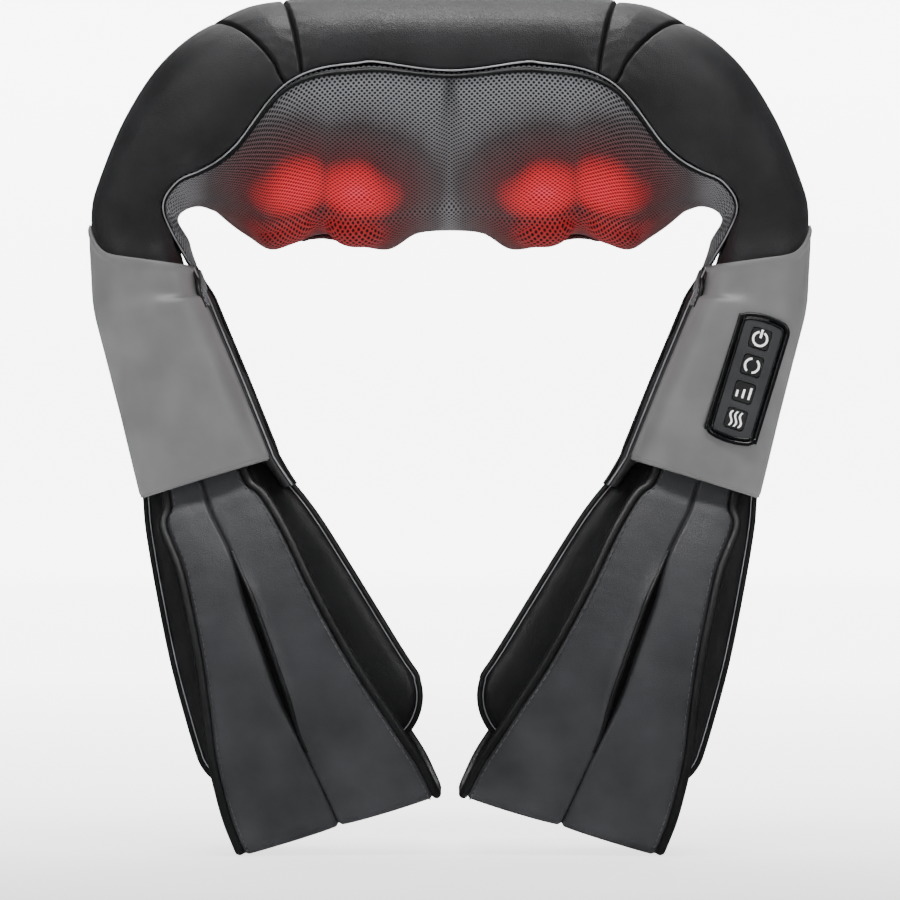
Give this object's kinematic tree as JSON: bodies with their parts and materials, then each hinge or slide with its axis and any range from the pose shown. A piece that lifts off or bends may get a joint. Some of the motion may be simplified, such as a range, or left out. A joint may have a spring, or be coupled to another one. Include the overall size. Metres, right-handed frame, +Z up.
{
  "type": "shiatsu neck massager",
  "caption": "Padded neck and shoulder massager: arched collar with two geared massage heads behind mesh, two flexing arms with sleeves and hand loops, four press keys.",
  "frame": {"origin": "floor level under the middle of the part, standing on its two hand loops", "axes": "+Z up, -Y the side with the mesh and the keys, +X towards the arm with the keys"},
  "size_m": [0.3986, 0.1517, 0.4692],
  "materials": {
    "leather": "soft grained black leather",
    "strap_leather": "smooth black leather",
    "tongue_leather": "padded black leather",
    "mesh": "perforated stretch mesh",
    "piping": "glossy piping",
    "foam": "open cell foam",
    "moulding": "moulded ABS",
    "steel": "bright steel",
    "gear_plastic": "natural acetal",
    "brass": "turned brass",
    "node_red": "translucent red plastic, lit from inside",
    "board": "printed circuit board",
    "wire": "wire insulation",
    "sleeve": "matte soft touch moulding",
    "bezel": "dark moulded rim and plate",
    "silicone": "silicone mat",
    "key": "charcoal key with a white icon",
    "inlet": "moulded socket"
  },
  "bodies": {
    "collar": {"centre_panel": "leather", "gusset_left": "leather", "gusset_right": "leather", "shoulder_left": "leather", "shoulder_right": "leather", "mesh_cover": "mesh", "mesh_piping": "piping", "collar_foam": "foam", "shoulder_foam_left": "foam", "shoulder_foam_right": "foam", "chassis": "moulding", "gearbox_base": "moulding", "gearbox_cover": "moulding", "chassis_screws": "steel", "motor": "steel", "motor_bracket": "steel", "bush_left": "brass", "bush_right": "brass", "heater_board_left": "board", "heater_board_right": "board", "wiring": "wire"},
    "drive": {"drive_shaft": "steel", "worm_left": "brass", "worm_right": "brass"},
    "head_left": {"worm_wheel_left": "gear_plastic", "output_shaft_left": "steel", "rotor_arm_left": "moulding", "large_nodes_left": "node_red", "small_nodes_left": "node_red"},
    "arm_left": {"sleeve_left": "sleeve", "arm_core_left": "foam", "tongue_left": "tongue_leather", "hand_strap_left": "strap_leather"},
    "head_right": {"worm_wheel_right": "gear_plastic", "output_shaft_right": "steel", "rotor_arm_right": "moulding", "large_nodes_right": "node_red", "small_nodes_right": "node_red"},
    "arm_right": {"sleeve_right": "sleeve", "arm_core_right": "foam", "tongue_right": "tongue_leather", "hand_strap_right": "strap_leather", "key_bezel": "bezel", "key_housing": "moulding", "key_mat": "silicone", "key_board": "board", "dc_inlet": "inlet", "dc_inlet_pin": "steel"},
    "button_power": {"key_power": "key"},
    "button_direction": {"key_direction": "key"},
    "button_intensity": {"key_intensity": "key"},
    "button_heat": {"key_heat": "key"}
  },
  "joints": [
    {"name": "motor_turn", "type": "hinge", "parent": "collar", "child": "drive", "pos_m": [0, -0.00122, 0.41514], "axis": [1, 0, 0], "continuous": true},
    {"name": "head_left_turn", "type": "hinge", "parent": "collar", "child": "head_left", "pos_m": [-0.071, 0.02013, 0.39293], "axis": [0, -0.5446, -0.8387], "continuous": true},
    {"name": "head_right_turn", "type": "hinge", "parent": "collar", "child": "head_right", "pos_m": [0.071, 0.02013, 0.39293], "axis": [0, -0.5446, -0.8387], "continuous": true},
    {"name": "arm_left_flex", "type": "hinge", "parent": "collar", "child": "arm_left", "pos_m": [-0.172, -0.007, 0.336], "axis": [-1, 0, 0], "range_deg": [-15, 20]},
    {"name": "arm_right_flex", "type": "hinge", "parent": "collar", "child": "arm_right", "pos_m": [0.172, -0.007, 0.336], "axis": [-1, 0, 0], "range_deg": [-15, 20]},
    {"name": "press_power", "type": "slide", "parent": "arm_right", "child": "button_power", "axis": [0, 1, 0], "range_m": [0, 0.001], "stiffness_N_per_m": 300},
    {"name": "press_direction", "type": "slide", "parent": "arm_right", "child": "button_direction", "axis": [0, 1, 0], "range_m": [0, 0.001], "stiffness_N_per_m": 300},
    {"name": "press_intensity", "type": "slide", "parent": "arm_right", "child": "button_intensity", "axis": [0, 1, 0], "range_m": [0, 0.001], "stiffness_N_per_m": 300},
    {"name": "press_heat", "type": "slide", "parent": "arm_right", "child": "button_heat", "axis": [0, 1, 0], "range_m": [0, 0.001], "stiffness_N_per_m": 300}
  ],
  "couplings": [
    {"joint": "head_left_turn", "follows": "motor_turn", "ratio": 0.025},
    {"joint": "head_right_turn", "follows": "motor_turn", "ratio": -0.025}
  ]
}
